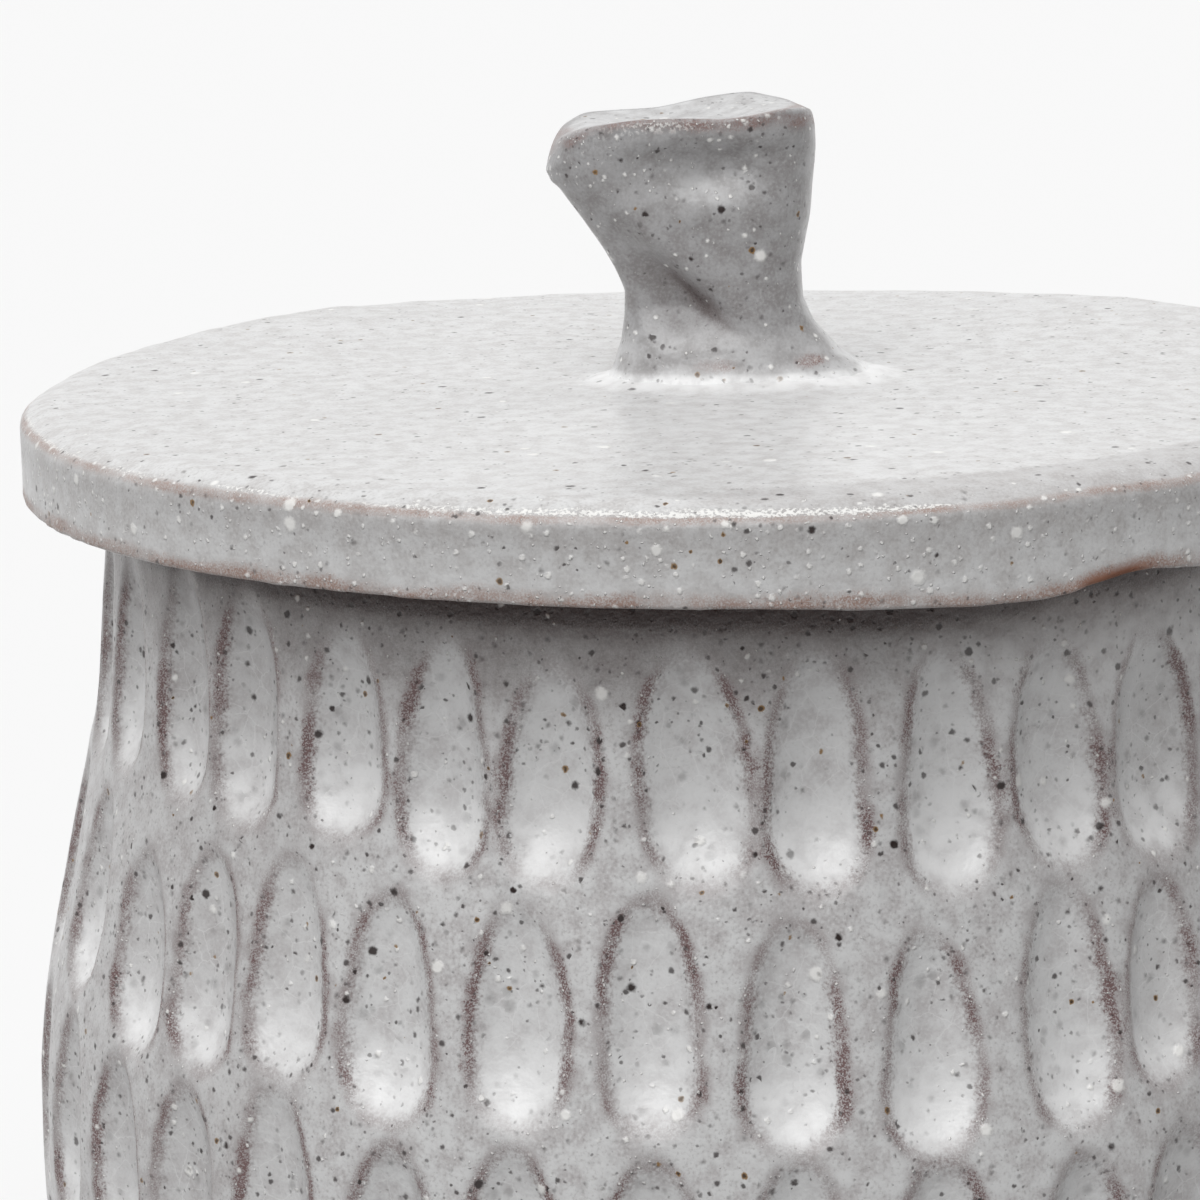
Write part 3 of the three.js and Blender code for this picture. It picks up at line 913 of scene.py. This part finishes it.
@dataclass(frozen=True)
class Lid(Piece):
    """The slab lid: flat on top, with an uneven edge that the glaze breaks on.

    The tables are read by azimuth in degrees, but for roll: distances inwards from the edge and up from the
    shoulder.
    """

    name = "lid"
    body = Body.LID
    node = "lid_slab"
    slot = Slot.LID
    seat: float = 136.3
    radius: float = 70.0
    thickness: float = 9.0
    top_fall: float = 1.1
    edge_round: float = 1.2
    low_round: float = 0.45
    roll: Table = ((0.12, -0.6), (0.45, -0.12), (0.9, 0.2), (1.5, 0.5), (2.2, 0.78), (3.0, 0.98))
    wave: float = 0.4
    lift: float = 1.5
    lift_from: float = 27.0
    lift_to: float = 82.0
    lift_ramp: float = 9.0
    seat_inset: float = 4.5
    warp: Table = (
        (-180, 0), (-165, 0.1), (-156, 0.25), (-148, 0.55), (-140, 0.85), (-130, 0.85), (-120, 0.5),
        (-100, 0.1), (-85, 0), (90, 0), (105, 0.6), (120, 1.0), (135, 0.95), (144, 0.5), (156, 0.1),
        (166, -0.15), (180, 0),
    )
    sag: Table = (
        (-25, 0), (-10, 0.35), (0, 0.5), (6, 0.7), (10, 1.1), (16, 1.35), (21, 1.55), (25.6, 1.55), (29, 1.0),
        (32.6, 1.2), (36.5, 1.9), (40, 2.3), (50, 2.3), (65, 1.4), (82, 0.3), (95, 0),
    )
    bevel: Table = ((-40, 0), (-12, 0.1), (0, 0.3), (12, 0.45), (22, 0.35), (60, 0.1), (100, 0))
    bevel_width: float = 8.0
    bead_count: int = 150
    knob_at: Point = (3.7, 0.2)
    knob_half: Point = (14.0, 7.8)
    knob_squareness: float = 2.4
    steps: int = 512

    @property
    def shoulder(self) -> float:
        """Height above the seat where the edge rolls over to the top."""
        return self.thickness - self.top_fall

    def profile(self) -> list[Point]:
        """Draws the slab's section.

        Returns:
            Its points, from the middle of the underside out and up to the middle of the top.
        """
        points = [(0.0, 0.0)] + line((0.0, 0.0), (self.radius - self.seat_inset, 0.0), 14)
        points += line(points[-1], (self.radius - self.low_round, 0.0), 5)
        points += corner((self.radius - self.low_round, self.low_round), self.low_round, -90, 0, 4)[1:]
        points += line(points[-1], (self.radius, self.shoulder - self.edge_round), 13)
        points += [(self.radius - inwards, self.shoulder + up) for inwards, up in self.roll]
        points += [(self.radius - 4.0, self.thickness - 0.03)]
        points += line(points[-1], (22.0, self.thickness), 44)
        return points + line((22.0, self.thickness), (0.0, self.thickness), 16)

    def above(self, height: Array) -> Array:
        """How far up the roll of the edge or on the top each height is, 0 to 1."""
        return ease(height, self.shoulder - 1.5, self.shoulder + 0.5)

    def side(self, radius: Array) -> Array:
        """How near the outer edge each radius is, 0 to 1."""
        return ease(radius, self.radius - self.seat_inset, self.radius - self.edge_round)

    def slope(self, radius: Array) -> Array:
        """How far down the bevel each radius is, 0 to 1."""
        return np.clip((radius - self.radius + self.bevel_width) / (self.bevel_width - 1.5), 0, 1)

    def beads(self, azimuth: Array, height: Array) -> Array:
        """Glaze that has gathered in beads along the lower edge.

        Args:
            azimuth: Azimuth of each point, in radians.
            height: Its height above the seat.

        Returns:
            How far each point stands out.
        """
        rng = np.random.default_rng(11)
        total = np.zeros(len(azimuth))
        near = np.abs(height - 0.6) < 3
        for _ in range(self.bead_count):
            middle, wide = rng.uniform(-np.pi, np.pi), rng.uniform(0.6, 1.4)
            tall, low = 0.03 + 0.14 * rng.uniform(0, 1) ** 3, rng.uniform(0.1, 0.5)
            across = bump(turn_from(azimuth[near], middle) * self.radius, 0, wide)
            total[near] += tall * across * bump(height[near], low, 0.8)
        return total

    def worked(self, blank: Array) -> Worked:
        """Works the slab by hand: its outline, its edges, its warp and the glaze that runs on it.

        Args:
            blank: Points of the thrown slab, above the seat.

        Returns:
            The points of the lid and its marks.
        """
        radius, azimuth, height = polar(blank)
        turn = np.degrees(azimuth)
        above, side = self.above(height), self.side(radius)
        outer = ease(radius, self.radius - 12, self.radius - 2)
        lower = side * np.clip(1 - (height - self.edge_round) / 5.5, 0, 1)
        beads = self.beads(azimuth, height) * side
        wave = self.wave * (0.6 * np.sin(2 * azimuth + 1) + 0.4 * np.sin(3 * azimuth + 4))
        wave += 0.35 * bump(turn, -90, 24)
        grown = radius + outer * (wave + waves(blank, 24, 5) * 0.1) + beads

        lift = ease(turn, self.lift_from, self.lift_from + self.lift_ramp)
        lift = self.lift * (lift - ease(turn, self.lift_to - self.lift_ramp, self.lift_to))
        drop = above * outer * (waves(blank, 30, 6) * 0.16 + waves(blank, 9, 7) * 0.06)
        ripple = above * (1 - outer) * (waves(blank, 34, 8) * 0.1 + waves(blank, 11, 9) * 0.02)
        lump = above * 0.05 * waves(blank, 6, 10)
        fillet = above * 0.8 * np.clip(1 - self.foot_distance(blank) / 3.4, 0, 1) ** 2.2
        bent = ease(radius, 26, 66) * read(self.warp, turn) * above
        bent -= lower * read(self.sag, turn)
        bent -= above * self.slope(radius) * read(self.bevel, turn)
        points = blank.copy()
        points[:, :2] *= (grown / np.maximum(radius, TINY))[:, None]
        points[:, 2] = self.seat + height + lift * lower - beads * 0.5 * lower
        for rise in (drop, ripple, lump, fillet, bent):
            points[:, 2] += rise
        return points, self.marks(blank, points)

    def marks(self, blank: Array, points: Array) -> Marks:
        """Works out what is painted on the slab.

        Args:
            blank: Points of the thrown slab, above the seat.
            points: The same points once they are worked.

        Returns:
            The numbers of each mark.
        """
        radius, azimuth, height = polar(blank)
        turn, above, shoulder = np.degrees(azimuth), self.above(height), self.shoulder
        inwards = self.radius - radius
        top_edge = 1.1 * np.abs(height - (shoulder - 0.2 + waves(points, 14, 12) * 0.2))
        top_edge = np.where(inwards < 3.2, np.hypot(top_edge, np.clip(inwards - 0.5, 0, FAR)), FAR)
        low_edge = 0.6 * np.abs(height - 0.5 - 0.4 * waves(points, 12, 13))
        low_edge = np.where(inwards < 3, low_edge, FAR)
        notch = ease(turn, 26.5, 29.5) * ease(turn, 36, 33)
        notch *= self.side(radius) * ease(height, 1.3, 0.5)
        under = ease(inwards, 1.9, 3.2) * (height < 0.01)
        # Painted light: a paler band low on the side of the edge, and a paler patch on the top in front of the
        # knob.
        lit = 0.2 * bump(height, 2.2, 1.3) * (inwards < 1)
        lit += 0.26 * above * bump(np.hypot(points[:, 0] - 4, points[:, 1] + 34), 0, 26)
        # A line of painted glints along the top edge, brightest at the front, over the white spots of the edge.
        glint_crest = 0.85 + 0.6 * waves(points, 18, 14) + 1.1 * bump(turn, 2, 13)
        glint_crest -= 1.0 * ease(turn, 10, 22) + 0.4 * ease(turn, -25, -40)
        glint_crest = np.where(np.abs(height - shoulder - 0.3) < 0.25, glint_crest, 0)
        # Painted shade: darker on the side of the edge, most in its upper half, and on the bevel of the top
        # that faces the front.
        dim = ease(height, shoulder + 0.3, shoulder - 0.6) * (0.08 + 0.14 * ease(height, 3.5, 6.5))
        facing = ease(turn, -6, 8) * ease(turn, 100, 70)
        bevel = ease(self.slope(radius), 0.0, 0.12) * facing * above * 0.24
        return {
            Mark.EDGE: 0.25 - np.minimum(top_edge, low_edge),
            Mark.BREAK: np.where(height > 4, 0.7, 0.85),
            Mark.POOL_AND_LIGHT: above * ease(self.foot_distance(blank), 3.9, 0.2) * 0.85 + lit,
            Mark.BARE: np.maximum(notch, under),
            Mark.DOTS: glint_crest + np.where(height > shoulder + 0.4, 0.15, 1.0) * (inwards < 4),
            Mark.SHADE: np.maximum(dim * (inwards < 3), bevel),
        }

    def foot_distance(self, points: Array) -> Array:
        """Measures along the lid from the foot of the knob.

        Args:
            points: Where to measure.

        Returns:
            Their distances, 0 under the knob.
        """
        x, y = points[:, 0] - self.knob_at[0], points[:, 1] - self.knob_at[1]
        power = self.knob_squareness
        reach = np.abs(x / self.knob_half[0]) ** power + np.abs(y / self.knob_half[1]) ** power
        reach, length = reach ** (1 / power), np.hypot(x, y)
        return np.maximum(length - length / np.maximum(reach, TINY), 0)


@dataclass(frozen=True)
class Flange(Piece):
    """The ring under the lid that drops into the mouth."""

    name = "flange"
    body = Body.LID
    node = "lid_flange"
    slot = Slot.CLAY
    seat: float = 136.3
    outer: float = 52.5
    thickness: float = 5.0
    depth: float = 8.0
    edge_round: float = 1.5
    steps: int = 256

    def profile(self) -> list[Point]:
        """Draws the ring's section.

        Returns:
            Its points, from the inner lower edge round to the first.
        """
        inner, low = self.outer - self.thickness, self.edge_round - self.depth
        points = corner((inner + self.edge_round, low), self.edge_round, 180, 270, 5)
        points += corner((self.outer - self.edge_round, low), self.edge_round, 270, 360, 5)
        for end, steps in (((self.outer, 0.0), 12), ((inner, 0.0), 3), ((inner, low), 12)):
            points += line(points[-1], end, steps)
        return points

    def worked(self, blank: Array) -> Worked:
        """Leaves faint throwing lines and a slightly uneven lower edge.

        Args:
            blank: Points of the thrown ring, above the seat.

        Returns:
            The points of the flange, which has no marks.
        """
        radius, azimuth, height = polar(blank)
        lines = 0.12 * np.sin(height * 3.1 + 0.5 * azimuth) + 0.12 * waves(blank, 30, 21)
        points = blank.copy()
        points[:, :2] *= (1 + ease(height, -0.2, -1.4) * lines / radius)[:, None]
        points[:, 2] += self.seat + np.where(height < -4, 0.15 * waves(points, 26, 22), 0)
        return points, {}


@dataclass(frozen=True)
class Knob(Piece):
    """The grip: a lump of clay pinched flat front to back, twisted, and drawn out to a beak at -X.

    The tables left, right, front and back give how far each side stands out at a share of the height, and
    the two rims give the height of the top's front and back edges along X.
    """

    name = "knob_grip"
    body = Body.LID
    node = "knob"
    slot = Slot.LID
    rounding = 6
    base: float = 145.3
    height: float = 27.0
    steps: int = 128
    side_rings: int = 90
    cap_rings: int = 22
    squareness: float = 2.5
    fold_at: Point = (-3.4, 12.6)
    fold_fall: float = 0.84
    left: Table = (
        (0, -10.3), (0.06, -9.3), (0.15, -8.3), (0.25, -8.0), (0.345, -8.0), (0.44, -9.1), (0.529, -10.5),
        (0.68, -12.9), (0.82, -15.1), (0.9, -15.6), (0.96, -15.4), (1, -14.9),
    )
    right: Table = (
        (0, 17.8), (0.04, 16.4), (0.1, 13.8), (0.204, 11.5), (0.3, 10.3), (0.44, 10.0), (0.61, 10.8),
        (0.875, 11.6), (0.945, 11.5), (1, 11.2),
    )
    front: Table = (
        (0, 8.0), (0.08, 7.0), (0.2, 6.3), (0.35, 6.2), (0.55, 7.0), (0.75, 8.0), (0.9, 8.7), (1, 8.4),
    )
    back: Table = ((0, 8.6), (0.1, 7.2), (0.25, 6.2), (0.4, 6.2), (0.6, 7.0), (0.85, 8.6), (1, 8.4))
    front_rim: Table = (
        (-16.6, 21.4), (-15.4, 22.6), (-14.1, 25.0), (-10.5, 26.7), (-6.9, 27.3), (-1.7, 27.4), (2.4, 27.2),
        (5.0, 27.4), (7.5, 27.8), (10.1, 28.0),
    )
    back_rim: Table = (
        (-16.6, 22.9), (-15.2, 25.7), (-12.0, 27.1), (-9.0, 27.0), (-4.6, 27.2), (0.3, 28.0), (5.0, 28.6),
        (9.0, 27.7), (12.0, 26.4),
    )

    def blank(self) -> Object:
        """Draws up a closed cylinder of unit radius and height, ringed finely enough to be worked.

        Returns:
            The cylinder.
        """
        deselect()
        circle = {"vertices": self.steps, "radius": MM, "fill_type": "NOTHING"}
        bpy.ops.mesh.primitive_circle_add(location=(0, 0, 0), **circle)
        piece = bpy.context.object
        piece.name = piece.data.name = self.name
        bpy.ops.object.mode_set(mode="EDIT")
        bpy.ops.mesh.select_all(action="SELECT")
        bpy.ops.mesh.edge_face_add()
        bpy.ops.mesh.select_all(action="SELECT")
        for _ in range(self.side_rings):
            step = {"value": (0, 0, MM / self.side_rings)}
            bpy.ops.mesh.extrude_region_move(TRANSFORM_OT_translate=step)
        for ring in range(self.cap_rings):
            size = 1 - 1 / (self.cap_rings - ring + 1)
            bpy.ops.mesh.extrude_region_move()
            bpy.ops.transform.resize(value=(size, size, 1), center_override=(0, 0, MM))
        bpy.ops.mesh.select_all(action="SELECT")
        bpy.ops.mesh.normals_make_consistent(inside=False)
        bpy.ops.object.mode_set(mode="OBJECT")
        return piece

    def squeezed(self, blank: Array) -> Array:
        """Squeezes the blank into the knob.

        Args:
            blank: Points of the blank, of unit radius and height.

        Returns:
            The squeezed points, in mm above the lid.
        """
        reach, _, share = polar(blank)
        angle, power = np.arctan2(blank[:, 1], blank[:, 0]), 2 / self.squareness
        across, along = (np.sign(s) * np.abs(s) ** power for s in (np.cos(angle), np.sin(angle)))
        left, right = read(self.left, share), read(self.right, share)
        x = (left + right) / 2 + (right - left) / 2 * across * reach
        y = np.where(along < 0, read(self.front, share), read(self.back, share)) * along * reach
        rim_front, rim_back = read(self.front_rim, x), read(self.back_rim, x)
        top = rim_front + (rim_back - rim_front) * np.clip((y + 8.4) / 16.8, 0, 1)
        z = self.height * share + (top - self.height) * share**3
        z -= 1.1 * ease((share > CAP) * np.clip(1 - reach, 0, 1), 0, 0.75)
        return np.stack([x, y, z], axis=1)

    def fold(self, x: Array, z: Array) -> Array:
        """Height above the fold that the twist left across the front, falling to the right."""
        return z - (self.fold_at[1] - self.fold_fall * (x - self.fold_at[0]))

    def fingered(self, points: Array, blank: Array) -> Array:
        """Adds the marks of the fingers: the hollow under the rim, the fold across the front, and lumps.

        Args:
            points: Squeezed points, in mm above the lid.
            blank: The same points in the blank.

        Returns:
            The points, moved.
        """
        x, z, reach = points[:, 0], points[:, 2], polar(blank)[0]
        fold = self.fold(x, z)
        hollow = 2.3 * bump(x, 1.4, 7.4) * ease(z, 17.4, 22.8) * ease(z, 25.8, 23.2)
        recess = 2.9 * ease(fold, 0.9, -1.8) * bump(x, -2.6, 5.0) * ease(z, 3.5, 8.5)
        lip = 0.6 * bump(fold, 1.6, 1.4) * bump(x, -3.0, 6.0) * ease(z, 5.0, 9.0)
        moved = points.copy()
        moved[:, 1] += ease(points[:, 1], -1, -5) * (hollow + recess - lip)
        lumps = waves(points, 13, 31) * 0.28 + waves(points, 5, 32) * 0.07
        outward = points * (1, 1, 0) + (1.5, 0, 0)
        length = np.maximum(np.linalg.norm(outward, axis=1), TINY)
        moved += outward / length[:, None] * (lumps * ease(z, 0, 3) * np.clip(reach * 1.2, 0, 1))[:, None]
        moved[:, 2] += lumps * 0.6 * (blank[:, 2] > CAP) * reach
        return moved

    def marks(self, blank: Array, points: Array) -> Marks:
        """Works out what is painted on the knob.

        Args:
            blank: Points of the blank, of unit radius and height.
            points: The same points once they are worked, in mm above the lid.

        Returns:
            The numbers of each mark.
        """
        reach, _, share = polar(blank)
        side, x, z = share < CAP, points[:, 0], points[:, 2]
        faces = ease(points[:, 1], -1, -4)
        rim = np.where(side, (1 - share) * self.height, (1 - reach) * 8)
        weak = 1.2 * ease(points[:, 1], 0, 5) + 0.5 * ease(x, -5, -9)
        wider = 0.7 * bump(x, 9.5, 2.6) + 0.6 * bump(x, -13.5, 3.0)
        worn_rim = np.where(side, 0.7, 0.4) - rim - weak + wider
        stains = np.maximum(bump(x, 1.0, 3.0) * bump(z, 2.2, 0.8), bump(x, 10.6, 2.0) * bump(z, 2.4, 0.8))
        stains = stains * faces
        # Painted light on the face below the hollow, which turns up; lower down it joins the glaze that pools
        # round the foot.
        lit_facet = 0.34 * bump(x, -0.6, 5.0) * bump(z, 20.2, 1.9) * faces
        foot = np.maximum(ease(z, 2.0, 0.8), 0.27 * ease(z, 7.0, 2.5) + lit_facet) * side
        # Painted reflection: a paler band down the right side.
        lit = 0.28 * ease(blank[:, 0], 0.88, 0.99) * side
        # Painted light on the top, which faces up.
        top = 0.35 * ease(share, 0.9, 1.0) * (reach < 0.9)
        # White spots, most towards the upper left. Near the rim on the front they pass 1.1 into painted glints,
        # which the minimum below keeps to a short stretch of the rim.
        spots_and_glints = 0.35 + (0.75 * ease(z - 0.6 * x, 18, 27) + 0.36 * ease(rim, 2.0, 0.5) * faces) * side
        # Painted shade in the fold across the front.
        crease_shade = bump(self.fold(x, z), -1.6, 1.5) * bump(x, -1.0, 4.0) * faces * 0.9
        # Painted shade over all the sides, deeper on a broad patch in the middle of the front.
        dim = 0.15 * side + 0.2 * bump(x + 0.4 * z, 0.5, 3.4) * bump(z, 10, 5.0) * faces
        return {
            Mark.EDGE: np.maximum(worn_rim, 0.2 - 1.6 * (1 - stains)),
            Mark.BREAK: 0.65 + 0.3 * waves(points + (0, 0, self.base), 4, 33),
            Mark.POOL_AND_LIGHT: np.maximum(foot + lit, top),
            Mark.BARE: 0.0,
            Mark.DOTS: np.minimum(spots_and_glints, 1.1 + 0.36 * bump(x, -4, 6)),
            Mark.SHADE: np.maximum(crease_shade, dim),
        }

    def worked(self, blank: Array) -> Worked:
        """Works the knob out of its blank."""
        points = self.fingered(self.squeezed(blank), blank)
        return points + (0, 0, self.base), self.marks(blank, points)


@dataclass(frozen=True)
class Studio:
    """A pale floor, soft light from above and behind, and the camera of the photograph."""

    distance: float = 450.0
    elevation: float = 0.155958
    pan: float = 0.0251523
    tilt: float = -0.0502360
    roll: float = 0.0197436
    focal_pixels: float = 4379.16
    image_pixels: float = 1200.0
    target: float = 145.3
    background: float = 0.952
    behind: float = 0.95
    before: float = 0.1
    key: float = 2.3
    key_spread: float = 60.0
    key_from: tuple[float, float, float] = (-0.25, -0.75, 1.0)
    floor_size: float = 40.0
    floor_seen: float = 0.88
    floor_thrown: float = 0.25

    def camera(self) -> None:
        """Places the camera where the photograph was taken from."""
        back = Vector((0, -math.cos(self.elevation), math.sin(self.elevation)))
        forward, right = -back, Vector((1, 0, 0))
        pan = Matrix.Rotation(self.pan, 3, right.cross(forward))
        forward, right = pan @ forward, pan @ right
        forward = Matrix.Rotation(self.tilt, 3, right) @ forward
        roll = Matrix.Rotation(self.roll, 3, forward)
        right, up = roll @ right, roll @ right.cross(forward)
        data = bpy.data.cameras.new("camera")
        data.sensor_width = 36.0
        data.lens = self.focal_pixels / self.image_pixels * data.sensor_width
        data.clip_start, data.clip_end = 0.01, 200.0
        camera = bpy.data.objects.new("camera", data)
        bpy.context.scene.collection.objects.link(camera)
        turn = Matrix((right, up, -forward)).transposed().to_4x4()
        place = back * (self.distance * MM) + Vector((0, 0, self.target * MM))
        camera.matrix_world = Matrix.Translation(place) @ turn
        bpy.context.scene.camera = camera

    def light(self) -> None:
        """Lights the scene: a pale surround, brighter behind than before, and one broad light overhead."""
        world = bpy.data.worlds.new("surround")
        graph = Graph(world, "Generated")
        ends = {"From Min": -0.5, "From Max": 0.6, "To Min": self.before, "To Max": self.behind}
        sockets = {"Value": graph.out("SeparateXYZ", "Y", {0: graph.place}), **ends}
        strength = graph.out("MapRange", "Result", sockets, interpolation_type="SMOOTHSTEP")
        lit = graph.out("Background", 0, {"Color": grey(1.0), "Strength": strength})
        seen = graph.out("Background", 0, {"Color": grey(self.background)})
        surround = {0: graph.out("LightPath", "Is Camera Ray"), 1: lit, 2: seen}
        graph.node("OutputWorld", {"Surface": graph.out("MixShader", 0, surround)})
        bpy.context.scene.world = world
        sun = bpy.data.lights.new("overhead", "SUN")
        sun.energy, sun.angle = self.key, math.radians(self.key_spread)
        lamp = bpy.data.objects.new("overhead", sun)
        lamp.rotation_euler = Vector(self.key_from).to_track_quat("Z", "Y").to_euler()
        bpy.context.scene.collection.objects.link(lamp)
        bpy.context.scene.view_settings.view_transform = "Standard"

    def ground(self) -> None:
        """Lays the pale floor that the jar stands on. It throws little light back up at the jar."""
        deselect()
        bpy.ops.mesh.primitive_plane_add(size=self.floor_size, location=(0, 0, 0))
        floor = bpy.context.object
        floor.name = "studio_floor"
        bpy.ops.object.transform_apply(location=True, rotation=True, scale=True)
        graph = Graph(bpy.data.materials.new("studio_floor"))
        levels = (self.floor_seen, self.floor_thrown)
        pale, dim = (graph.out("BsdfDiffuse", 0, {"Color": grey(level)}) for level in levels)
        surfaces = {0: graph.out("LightPath", "Is Diffuse Ray"), 1: pale, 2: dim}
        graph.node("OutputMaterial", {"Surface": graph.out("MixShader", 0, surfaces)})
        floor.data.materials.append(graph.owner)

    def build(self) -> None:
        """Sets the studio up."""
        self.camera()
        self.light()
        self.ground()


def main() -> None:
    """Builds the jar piece by piece, then the studio."""
    logging.basicConfig(level=logging.INFO, format="%(name)s %(message)s")
    clay = Clay().material()
    wall_glaze = Glaze("wall_glaze").material()
    lid_glaze = Glaze(
        "lid_glaze", thin=srgb(202, 200, 199), body=srgb(219, 219, 219), thick=srgb(228, 228, 228),
        stain=srgb(164, 160, 158), broken=srgb(164, 138, 128), break_width=0.75, straying=0.5,
        iron_share=0.14, amber_share=0.2, roughness=0.33, crazing=0,
        clay=Clay(light=srgb(158, 112, 90), dark=srgb(120, 76, 58)),
    ).material()
    knob_glaze = Glaze(
        "knob_glaze", thin=srgb(154, 152, 152), body=srgb(176, 176, 177), thick=srgb(192, 192, 193),
        stain=srgb(136, 131, 131), broken=srgb(140, 112, 106), iron_share=0.24, amber_share=0.6, crazing=0,
    ).material()
    Wall().build(wall_glaze)
    Floor().build(clay)
    Lid().build(lid_glaze)
    Flange().build(clay)
    Knob().build(knob_glaze)
    Studio().build()


if __name__ == "__main__":
    main()
